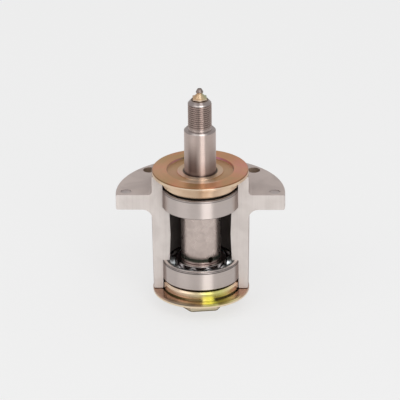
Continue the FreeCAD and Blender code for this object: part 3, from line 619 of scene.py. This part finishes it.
def capCorners(seat, height, outward):
    rim = cap["rimRise"]
    recess = rim - cap["recessDepth"]
    under = rim - cap["rimThickness"]
    shoulder = -height + cap["footHeight"]
    section = [
        (cap["bore"], -height, 0.15),
        (cap["foot"], -height, 0.2),
        (cap["foot"], shoulder, 0.3),
        (cap["hub"] - cap["hubChamfer"], shoulder, 0.4),
        (cap["hub"], shoulder + cap["hubChamfer"], 0.6),
        (cap["hub"], under - cap["rootWidth"], 0.15),
        (cap["hub"] - cap["rootDepth"], under - cap["rootWidth"], 0.15),
        (cap["hub"] - cap["rootDepth"], under, 0.15),
        (cap["rim"], under, 0.35),
        (cap["rim"], rim - cap["rimEdge"], 0.25),
        (cap["rim"] - cap["rimEdge"], rim, 0.25),
        (cap["recess"], rim, 0.3),
        (cap["recess"] - cap["recessSlope"], recess, 0.5),
        (cap["boss"], recess, 0.15),
        (cap["boss"], 0, 0.12),
        (cap["bore"] + cap["boreChamfer"], 0, 0.15),
        (cap["bore"], -cap["boreChamfer"], 0.1),
    ]
    return [(reach, seat + outward * up, edge) for reach, up, edge in section]


for side, outward in (("upper", 1), ("lower", -1)):
    corners = capCorners(cap[f"{side}Seat"], cap[f"{side}Height"], outward)
    turnedPiece(f"{side}Cap", corners, f"{side}Cap", "rotor", f"{side}_dust_cap")
print("dust caps turned")


# Bearings: two rings and a seal each

bearing = {
    "upperTop": -14.1, "lowerTop": -76.4, "width": 16.0, "bore": 12.73, "boreEdge": 1.0,
    "outside": 31.0, "outsideEdge": 1.0, "edgeReach": 29.5, "sideSlope": 0.2, "faceSlope": 0.98,
    "outerShoulder": 26.0, "innerShoulder": 20.15,
    "sealGroove": 26.82, "groove": 1.6, "sealInset": 0.4, "sealThickness": 1.2, "sealOutside": 26.8,
    "lip": 20.4, "lipWidth": 1.8, "lipThickness": 0.8,
    "pitch": 23.0, "ball": 4.7625, "race": 4.953, "raceSteps": 14, "play": 0.1,
    "ballCount": 9, "ballTurn": 20.0, "rivet": 0.7, "rivetHead": 1.2, "rivetHeight": 0.5,
    "sheet": 0.7, "sheetEdge": 0.08, "sheetSharpest": 40,
}


def raceCorners(centre, middle, shoulder, facing):
    limit = math.asin(math.sqrt(bearing["race"] ** 2 - (shoulder - centre) ** 2) / bearing["race"])
    section = []
    for step in range(bearing["raceSteps"] + 1):
        angle = -limit + 2 * limit * step / bearing["raceSteps"]
        across = centre + facing * bearing["race"] * math.cos(angle)
        section.append((across, middle + bearing["race"] * math.sin(angle), 0.0))
    return section


def outerRingCorners(top):
    foot = top - bearing["width"]
    middle = top - bearing["width"] / 2
    centre = bearing["pitch"] + bearing["ball"] + bearing["play"] - bearing["race"]
    race = raceCorners(centre, middle, bearing["outerShoulder"], 1)
    return [
        (bearing["sealGroove"], foot, 0.15),
        (bearing["outside"], foot, bearing["outsideEdge"]),
        (bearing["outside"], top, bearing["outsideEdge"]),
        (bearing["sealGroove"], top, 0.15),
        (bearing["sealGroove"], top - bearing["groove"], 0.1),
        (bearing["outerShoulder"], top - bearing["groove"], 0.25),
        *race[::-1],
        (bearing["outerShoulder"], foot + bearing["groove"], 0.25),
        (bearing["sealGroove"], foot + bearing["groove"], 0.1),
    ]


def innerRingCorners(top):
    foot = top - bearing["width"]
    middle = top - bearing["width"] / 2
    centre = bearing["pitch"] - bearing["ball"] - bearing["play"] + bearing["race"]
    return [
        (bearing["bore"], foot, bearing["boreEdge"]),
        (bearing["innerShoulder"], foot, 0.4),
        *raceCorners(centre, middle, bearing["innerShoulder"], -1),
        (bearing["innerShoulder"], top, 0.4),
        (bearing["bore"], top, bearing["boreEdge"]),
    ]


def sealCorners(ringFace, inward):
    outside = ringFace + inward * bearing["sealInset"]
    inside = outside + inward * bearing["sealThickness"]
    step = inside - inward * bearing["lipThickness"]
    lipEnd = bearing["lip"] + bearing["lipWidth"]
    return [
        (bearing["lip"], inside, 0.1),
        (bearing["sealOutside"], inside, 0.1),
        (bearing["sealOutside"], outside, 0.15),
        (lipEnd, outside, 0.15),
        (lipEnd, step, 0.1),
        (bearing["lip"], step, 0.1),
    ]


def makeRings(side, sealFace, inward):
    top = bearing[f"{side}Top"]
    node = f"{side}_bearing_outer_ring"
    ring = turnedPiece(f"{side}OuterRing", outerRingCorners(top), "ring", "housing", node)
    ring.data.materials.append(finishes[f"{side}Edge"])
    for face in ring.data.polygons:
        rounded = bearing["sideSlope"] < abs(face.normal.z) < bearing["faceSlope"]
        if rounded and math.hypot(face.center.x, face.center.y) > bearing["edgeReach"] * mm:
            face.material_index = 1  # the rounded edges outside aren't ground, and are painted dark for the dark reflection on them
    node = f"{side}_bearing_inner_ring"
    turnedPiece(f"{side}InnerRing", innerRingCorners(top), "innerRing", "rotor", node)
    node = f"{side}_bearing_seal"
    turnedPiece(f"{side}Seal", sealCorners(sealFace, inward), "rubber", "housing", node)


makeRings("upper", bearing["upperTop"], -1)
makeRings("lower", bearing["lowerTop"] - bearing["width"], 1)
print("bearing rings and seals turned")


# Geometry Nodes: balls and rivets on a circle, and the coiled spring

def runTree(name, tree, values):
    holder = addObject(name, bpy.data.meshes.new(name + "Base"))
    modifier = holder.modifiers.new("nodes", "NODES")
    modifier.node_group = tree
    for item in tree.interface.items_tree:
        if item.item_type == "SOCKET" and item.in_out == "INPUT" and item.name in values:
            modifier[item.identifier] = values[item.name]
    return finishedMesh(holder, name)


def endTree(tree, taken, given, geometry):
    smooth = addNode(tree, "GeometryNodeSetShadeSmooth", {0: geometry})
    real = addNode(tree, "GeometryNodeRealizeInstances", {0: smooth})
    painted = addNode(tree, "GeometryNodeSetMaterial", {"Geometry": real, "Material": taken["Material"]})
    feed(tree, painted, given["Geometry"])
    return tree


def moved(tree, geometry, level, **changes):
    place = addNode(tree, "ShaderNodeCombineXYZ", {2: level})
    return addNode(tree, "GeometryNodeTransform", {"Geometry": geometry, "Translation": place, **changes})


def setRound(tree, taken, piece):
    size = {"Vertices": taken["Count"], "Radius": taken["Pitch Radius"]}
    circle = addNode(tree, "GeometryNodeMeshCircle", size)
    swing = addNode(tree, "ShaderNodeCombineXYZ", {2: taken["Turn"]})
    points = moved(tree, circle, taken["Level"], Rotation=swing)
    return addNode(tree, "GeometryNodeInstanceOnPoints", {"Points": points, "Instance": piece})


circleInputs = {"Count": 9, "Pitch Radius": 0.023, "Level": 0.0, "Turn": 0.0, "Material": None}


def makeBallTree():
    inputs = {**circleInputs, "Ball Radius": 0.0047}
    tree, taken, given = newGroup("ballRing", "GeometryNodeTree", inputs, Geometry="Geometry")
    shape = {"Segments": 56, "Rings": 28, "Radius": taken["Ball Radius"]}
    ball = addNode(tree, "GeometryNodeMeshUVSphere", shape)
    return endTree(tree, taken, given, setRound(tree, taken, ball))


def makeRivetTree():
    inputs = {
        **circleInputs, "Shank Radius": 0.0007, "Grip": 0.0007,
        "Head Radius": 0.0012, "Head Height": 0.0005,
    }
    tree, taken, given = newGroup("rivetRing", "GeometryNodeTree", inputs, Geometry="Geometry")
    length = calc(tree, "MULTIPLY", taken["Grip"], 2.0)
    shape = {"Vertices": 20, "Radius": taken["Shank Radius"], "Depth": length}
    shank = addNode(tree, "GeometryNodeMeshCylinder", shape)
    joined = addNode(tree, "GeometryNodeJoinGeometry", {0: shank})
    dome = addNode(tree, "GeometryNodeMeshUVSphere", {"Segments": 24, "Rings": 12})
    headRadius = taken["Head Radius"]
    flat = addNode(tree, "ShaderNodeCombineXYZ", {0: headRadius, 1: headRadius, 2: taken["Head Height"]})
    for end in (1, -1):
        head = moved(tree, dome, calc(tree, "MULTIPLY", taken["Grip"], end), Scale=flat)
        feed(tree, head, joined.inputs[0])
    return endTree(tree, taken, given, setRound(tree, taken, joined))


def makeSpringTree():
    inputs = {
        "Turns": 6.0, "Coil Radius": 0.0011, "Height": 0.008, "Wire Radius": 0.0002,
        "Level": 0.0, "Material": None,
    }
    tree, taken, given = newGroup("coiledSpring", "GeometryNodeTree", inputs, Geometry="Geometry")
    path = addNode(tree, "GeometryNodeCurveSpiral", {
        "Resolution": 32, "Rotations": taken["Turns"], "Height": taken["Height"],
        "Start Radius": taken["Coil Radius"], "End Radius": taken["Coil Radius"],
    })
    circle = {"Resolution": 12, "Radius": taken["Wire Radius"]}
    wire = addNode(tree, "GeometryNodeCurvePrimitiveCircle", circle)
    sweep = {"Curve": path, "Profile Curve": wire, "Fill Caps": True}
    swept = addNode(tree, "GeometryNodeCurveToMesh", sweep)
    return endTree(tree, taken, given, moved(tree, swept, taken["Level"]))


ballTree = makeBallTree()
rivetTree = makeRivetTree()
for side in ("upper", "lower"):
    ballAngle = math.radians(bearing["ballTurn"] - 90)
    circle = {
        "Count": bearing["ballCount"], "Pitch Radius": bearing["pitch"] * mm,
        "Level": (bearing[f"{side}Top"] - bearing["width"] / 2) * mm,
    }
    ballMesh = runTree(f"{side}Balls", ballTree, {
        **circle, "Turn": ballAngle, "Ball Radius": bearing["ball"] * mm, "Material": finishes["ball"],
    })
    placePiece(f"{side}Balls", ballMesh, None, f"{side}_cage", f"{side}_bearing_balls")
    rivetMesh = runTree(f"{side}Rivets", rivetTree, {
        **circle, "Turn": ballAngle + math.pi / bearing["ballCount"], "Shank Radius": bearing["rivet"] * mm,
        "Head Radius": bearing["rivetHead"] * mm, "Head Height": bearing["rivetHeight"] * mm,
        "Grip": bearing["sheet"] * mm, "Material": finishes["cage"],
    })
    placePiece(f"{side}Rivets", rivetMesh, None, f"{side}_cage", f"{side}_cage_rivets")
print("balls and rivets set round their pitch circles")


# Pieces that keep their CAD shape: merged copies with softened edges

flatAngle = 0.2  # degrees, faces that differ by less are one face


def softenedCopy(name, node, edge, sharpest, finish, body, slot):
    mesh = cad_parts[node].data.copy()
    work = bmesh.new()
    work.from_mesh(mesh)
    bmesh.ops.remove_doubles(work, verts=work.verts, dist=mergeReach)
    bmesh.ops.dissolve_limit(work, angle_limit=math.radians(flatAngle), verts=work.verts, edges=work.edges)
    work.to_mesh(mesh)
    work.free()
    mesh.shade_smooth()
    mesh.set_sharp_from_angle(angle=math.radians(sharpest))
    holder = addObject(name + "Holder", mesh)
    if edge:
        bevel = holder.modifiers.new("soft edges", "BEVEL")
        bevel.width = edge * mm
        bevel.segments = 2
        bevel.limit_method = "ANGLE"
        bevel.angle_limit = math.radians(sharpest)
        bevel.harden_normals = True
    holder.modifiers.new("flat faces", "WEIGHTED_NORMAL").keep_sharp = True
    return placePiece(name, finishedMesh(holder, name), finish, body, node)


housing = {
    "edge": 0.15, "sharpest": 35, "sawPlace": -7.0, "sawReach": 0.05, "sawFacing": -0.95,
    "boreRadius": 26.4, "boreTop": -30.0, "boreFoot": -76.5,
    "holePlace": 42.073, "holeRadius": 5.4, "wallSlope": 0.3,
    "markPlace": 59.5, "markRadius": 4.6, "markTop": -19.1, "markFoot": -20.0,
}
housingFinishes = ["cast", "sawn", "bore", "hole", "mark"]


def housingFinish(centre, normal):
    reach = math.hypot(centre.x, centre.y)
    holeReach = math.hypot(abs(centre.x) - housing["holePlace"], centre.y - housing["holePlace"])
    sideMark = math.hypot(abs(centre.x) - housing["markPlace"], centre.y)
    backMark = math.hypot(centre.x, centre.y - housing["markPlace"])
    sunk = housing["markFoot"] < centre.z < housing["markTop"]
    if normal.y < housing["sawFacing"] and abs(centre.y - housing["sawPlace"]) < housing["sawReach"]:
        return "sawn"
    if reach < housing["boreRadius"] and housing["boreFoot"] < centre.z < housing["boreTop"]:
        return "bore"
    if holeReach < housing["holeRadius"] and abs(normal.z) < housing["wallSlope"]:
        return "hole"
    if min(sideMark, backMark) < housing["markRadius"] and sunk:
        return "mark"
    return "cast"


casting = softenedCopy(
    "castHousing", "housing", housing["edge"], housing["sharpest"], "cast", "housing", "cast_aluminium",
)
for finish in housingFinishes[1:]:
    casting.data.materials.append(finishes[finish])
for face in casting.data.polygons:
    face.material_index = housingFinishes.index(housingFinish(face.center / mm, face.normal))
print("housing finished")

softened = [  # piece, CAD node, edge radius in mm, least angle of an edge in degrees, finish, body, slot
    ("spacerTube", "bearing_spacer", 0.1, 35, "spacer", "rotor", "spacer_steel"),
    ("greaseFitting", "grease_fitting_body", 0.1, 25, "fitting", "rotor", "fitting_zinc"),
    ("checkBall", "grease_fitting_ball", 0, 60, "ball", "check_ball", "polished_steel"),
    ("bladeBolt", "blade_bolt", 0.25, 25, "bolt", "rotor", "bolt_zinc"),
]
for side in ("upper", "lower"):
    for half in ("top", "bottom"):
        softenedCopy(
            f"{side}Cage{half.title()}", f"{side}_cage_{half}_half", bearing["sheetEdge"],
            bearing["sheetSharpest"], "cage", f"{side}_cage", "cage_steel",
        )
for row in softened:
    softenedCopy(*row)
print("cages, spacer, fitting and bolt finished")

spring = {"turns": 6.0, "coil": 1.1, "wire": 0.2}
low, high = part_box("grease_fitting_spring")
springMesh = runTree("checkSpring", makeSpringTree(), {
    "Turns": spring["turns"], "Coil Radius": spring["coil"] * mm, "Wire Radius": spring["wire"] * mm,
    "Height": high.z - low.z - 2 * spring["wire"] * mm, "Level": low.z + spring["wire"] * mm,
    "Material": finishes["ball"],
})
checkSpring = placePiece(
    "checkSpring", springMesh, None, "rotor", "grease_fitting_spring",
)
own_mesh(checkSpring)
print("check spring coiled")


# Shaft: a turned body with a cut thread between its relief and its chamfer

shaft = {
    "boltBore": 7.99, "boltCeiling": -81.0, "end": -107.9, "tailChamfer": 0.8, "journal": 12.68,
    "undercut": 12.18, "undercutFoot": -0.9, "landFoot": -0.1, "land": 12.7, "shoulder": 36.3,
    "shoulderChamfer": 1.4, "relief": 8.8, "threadFoot": 37.8, "major": 9.525, "pitch": 1.76,
    "rowsPerTurn": 14, "top": 61.4, "chamferWidth": 2.8, "chamferHeight": 3.1,
    "fittingBore": 4.9, "boreFloor": 53.4,
}


def makeThreadTree():
    inputs = {
        "Around": 161, "Rows": 180, "Foot": 0.0, "Length": 0.02, "Pitch": 0.0016, "Major Radius": 0.0095,
        "Root Radius": 0.0088, "Chamfer Height": 0.003, "Chamfer Slope": 0.9, "Material": None,
    }
    tree, taken, given = newGroup("cutThread", "GeometryNodeTree", inputs, Geometry="Geometry")
    grid = {"Size X": 1.0, "Size Y": 1.0, "Vertices X": taken["Around"], "Vertices Y": taken["Rows"]}
    sheet = addNode(tree, "GeometryNodeMeshGrid", grid)
    place = addNode(tree, "ShaderNodeSeparateXYZ", {0: addNode(tree, "GeometryNodeInputPosition")}).outputs
    share = calc(tree, "ADD", place["X"], 0.5)
    climb = calc(tree, "MULTIPLY", calc(tree, "ADD", place["Y"], 0.5), taken["Length"])
    phase = calc(tree, "SUBTRACT", calc(tree, "DIVIDE", climb, taken["Pitch"]), share)
    wave = calc(tree, "ABSOLUTE", calc(tree, "MULTIPLY_ADD", calc(tree, "FRACT", phase), 2.0, -1.0))
    flank = calc(tree, "MULTIPLY_ADD", wave, 1.4, -0.2, clamp=True)  # flat crest and root
    chamferFoot = calc(tree, "SUBTRACT", taken["Length"], taken["Chamfer Height"])
    past = calc(tree, "SUBTRACT", climb, chamferFoot)
    fade = calc(tree, "ADD", calc(tree, "DIVIDE", past, taken["Pitch"]), 0.5, clamp=True)
    flank = calc(tree, "MAXIMUM", flank, fade)  # no groove in the chamfer
    depth = calc(tree, "SUBTRACT", taken["Major Radius"], taken["Root Radius"])
    ridge = calc(tree, "MULTIPLY_ADD", flank, depth, taken["Root Radius"])
    runOut = calc(tree, "ADD", climb, taken["Root Radius"])  # the thread fades into the relief
    taper = calc(tree, "MULTIPLY", calc(tree, "MAXIMUM", past, 0.0), taken["Chamfer Slope"])
    cone = calc(tree, "SUBTRACT", taken["Major Radius"], taper)
    reach = calc(tree, "MINIMUM", calc(tree, "MINIMUM", ridge, runOut), cone)
    turn = calc(tree, "MULTIPLY", share, 2 * math.pi)
    point = addNode(tree, "ShaderNodeCombineXYZ", {
        0: calc(tree, "MULTIPLY", reach, calc(tree, "COSINE", turn)),
        1: calc(tree, "MULTIPLY", reach, calc(tree, "SINE", turn)),
        2: calc(tree, "ADD", climb, taken["Foot"]),
    })
    shaped = addNode(tree, "GeometryNodeSetPosition", {"Geometry": sheet, "Position": point})
    return endTree(tree, taken, given, shaped)


threadLength = shaft["top"] - shaft["threadFoot"]
threadMesh = runTree("studThread", makeThreadTree(), {
    "Around": around + 1, "Rows": int(threadLength / shaft["pitch"] * shaft["rowsPerTurn"]),
    "Foot": shaft["threadFoot"] * mm, "Length": threadLength * mm, "Major Radius": shaft["major"] * mm,
    "Root Radius": shaft["relief"] * mm, "Pitch": shaft["pitch"] * mm,
    "Chamfer Height": shaft["chamferHeight"] * mm,
    "Chamfer Slope": shaft["chamferWidth"] / shaft["chamferHeight"], "Material": finishes["shaft"],
})
stem = roundedSection([
    (0, shaft["boltCeiling"], 0),
    (shaft["boltBore"], shaft["boltCeiling"], 0.3),
    (shaft["boltBore"], shaft["end"], 0.3),
    (shaft["journal"] - shaft["tailChamfer"], shaft["end"], 0.2),
    (shaft["journal"], shaft["end"] + shaft["tailChamfer"], 0.2),
    (shaft["journal"], shaft["undercutFoot"], 0.1),
    (shaft["undercut"], shaft["undercutFoot"], 0.15),
    (shaft["undercut"], shaft["landFoot"], 0.15),
    (shaft["land"], shaft["landFoot"], 0.1),
    (shaft["land"], shaft["shoulder"] - shaft["shoulderChamfer"], 0.25),
    (shaft["land"] - shaft["shoulderChamfer"], shaft["shoulder"], 0.25),
    (shaft["relief"], shaft["shoulder"], 0.5),
    (shaft["relief"], shaft["threadFoot"], 0),
    (0, shaft["threadFoot"], 0),
])[:-1]  # open at the top, where the thread goes on
crown = roundedSection([
    (shaft["major"] - shaft["chamferWidth"], shaft["top"], 0),
    (shaft["fittingBore"], shaft["top"], 0.2),
    (shaft["fittingBore"], shaft["boreFloor"], 0.2),
    (0, shaft["boreFloor"], 0),
], inOrder=True)
work = bmesh.new()
spinSection(work, stem, False)
spinSection(work, crown, False)
work.from_mesh(threadMesh)
bmesh.ops.remove_doubles(work, verts=work.verts, dist=mergeReach)
bmesh.ops.recalc_face_normals(work, faces=work.faces)
shaftMesh = bpy.data.meshes.new("groundShaft")
work.to_mesh(shaftMesh)
openEdges = sum(1 for edge in work.edges if not edge.is_manifold)
work.free()
bpy.data.meshes.remove(threadMesh)
smoothByArea(shaftMesh)
placePiece("groundShaft", shaftMesh, "shaft", "rotor", "spindle_shaft")
print("shaft turned and threaded, open edges:", openEdges)


# Studio: pale floor and surroundings, one tall soft light at the front right and a soft one at the left

studio = {
    "floorLevel": -116.7, "floorHalf": 8.0, "floorColour": 0.86, "floorStain": 0.998, "floorEven": 0.76,
    "floorSeen": 0.875, "seen": 0.855, "ambient": 0.72, "lightTarget": -30.0,
}
keyLook = {"azimuth": 20.0, "elevation": 30.0, "distance": 2.4, "size": (1.25, 3.2), "power": 28.0}
fillLook = {"azimuth": -55.0, "elevation": 40.0, "distance": 2.6, "size": (1.6, 2.0), "power": 8.0}
view = {
    "azimuth": 1.5, "elevation": 24.5, "roll": -0.5, "distance": 4.0, "target": (-0.4, 0.0, -26.4),
    "lens": 450.0, "sensor": 36.0, "nearest": 0.1, "farthest": 60.0,
}


def lookFrom(made, look, target):  # places a light or the camera and turns it to its target
    side = math.radians(look["azimuth"])
    tilt = math.radians(look["elevation"])
    way = Vector((math.sin(side) * math.cos(tilt), -math.cos(side) * math.cos(tilt), math.sin(tilt)))
    made.location = target + way * look["distance"]
    roll = Quaternion((0, 0, 1), math.radians(look.get("roll", 0.0)))
    made.rotation_euler = ((target - made.location).to_track_quat("-Z", "Y") @ roll).to_euler()


def grey(tone):
    return (tone, tone, tone)


def mixByRay(tree, share, first, second):
    return addNode(tree, "ShaderNodeMixShader", {0: share, 1: first, 2: second})


def makeFloor():
    half = studio["floorHalf"]
    level = studio["floorLevel"] * mm
    corners = [(-half, -half, level), (half, -half, level), (half, half, level), (-half, half, level)]
    mesh = bpy.data.meshes.new("floor")
    mesh.from_pydata(corners, [], [(0, 1, 2, 3)])
    paper = Surface("pale floor", 0.9, 0.0)
    paper.shader.inputs["Specular IOR Level"].default_value = 0.0
    tone = studio["floorColour"]
    stain = paper.use(blotches, Scale=3.0, Low=0.2, High=0.8)
    paper.coat(stain, grey(tone), grey(tone * studio["floorStain"]))
    feed(paper.tree, paper.shade, paper.shader.inputs["Base Color"])
    glow = addNode(paper.tree, "ShaderNodeEmission", {"Color": opaque(grey(studio["floorSeen"]))})
    cameraRay = addNode(paper.tree, "ShaderNodeLightPath").outputs["Is Camera Ray"]
    share = paper.times(cameraRay, studio["floorEven"])  # the camera sees the glow, so the shadow is faint
    both = mixByRay(paper.tree, share, paper.shader, glow)
    feed(paper.tree, both, paper.tree.nodes["Material Output"].inputs["Surface"])
    mesh.materials.append(paper.material)
    return addObject("floor", mesh)


def makeSoftLight(name, look):
    data = bpy.data.lights.new(name, "AREA")
    data.shape = "RECTANGLE"
    data.size = look["size"][0]
    data.size_y = look["size"][1]
    data.energy = look["power"]
    light = addObject(name, data)
    lookFrom(light, look, Vector((0, 0, studio["lightTarget"] * mm)))
    return light


def makeWorld():
    world = bpy.data.worlds.new("surroundings")
    world.use_nodes = True
    tree = world.node_tree
    tree.nodes.clear()
    rays = addNode(tree, "ShaderNodeLightPath").outputs
    seen = calc(tree, "MAXIMUM", rays["Is Camera Ray"], rays["Is Glossy Ray"])
    seen = calc(tree, "MAXIMUM", seen, rays["Is Transmission Ray"])
    lit = addNode(tree, "ShaderNodeBackground", {"Color": opaque(grey(1)), "Strength": studio["ambient"]})
    pale = addNode(tree, "ShaderNodeBackground", {"Color": opaque(grey(studio["seen"]))})
    addNode(tree, "ShaderNodeOutputWorld", {0: mixByRay(tree, seen, lit, pale)})
    bpy.context.scene.world = world


def makeCamera():
    data = bpy.data.cameras.new("camera")
    data.lens = view["lens"]
    data.sensor_width = view["sensor"]
    data.clip_start = view["nearest"]
    data.clip_end = view["farthest"]
    made = addObject("camera", data)
    lookFrom(made, view, Vector(view["target"]) * mm)
    return made


makeWorld()
floor = makeFloor()
keyLight = makeSoftLight("keyLight", keyLook)
fillLight = makeSoftLight("fillLight", fillLook)
print("studio lit")

camera = makeCamera()  # far off with a long lens, looking down a little
bpy.context.scene.camera = camera
bpy.context.scene.view_settings.view_transform = "Standard"
print("camera set")
